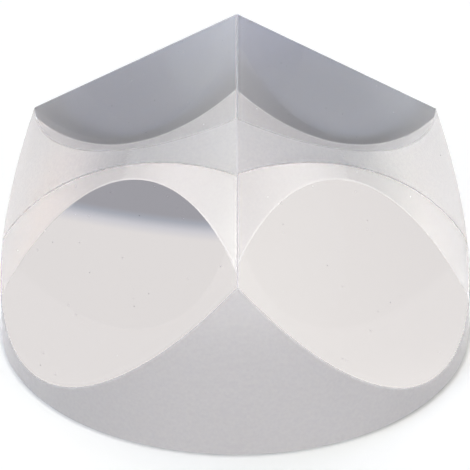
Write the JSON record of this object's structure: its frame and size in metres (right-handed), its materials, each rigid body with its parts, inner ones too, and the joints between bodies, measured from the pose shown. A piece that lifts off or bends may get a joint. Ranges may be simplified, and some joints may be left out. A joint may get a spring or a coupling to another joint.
{
  "type": "corner cube prism",
  "caption": "Round glass retroreflector prism with a flat entrance face and polished reflecting faces that meet at right angles in an apex.",
  "frame": {"origin": "centre of the round entrance face, which the prism stands on", "axes": "+Z along the optical axis, from the entrance face to the apex; one ridge lies over -Y"},
  "size_m": [0.0508, 0.0508, 0.038],
  "materials": {
    "optical_glass": "polished entrance and reflecting faces, fine-ground wall and bevels"
  },
  "bodies": {
    "root": {"prism": "optical_glass"}
  },
  "joints": []
}
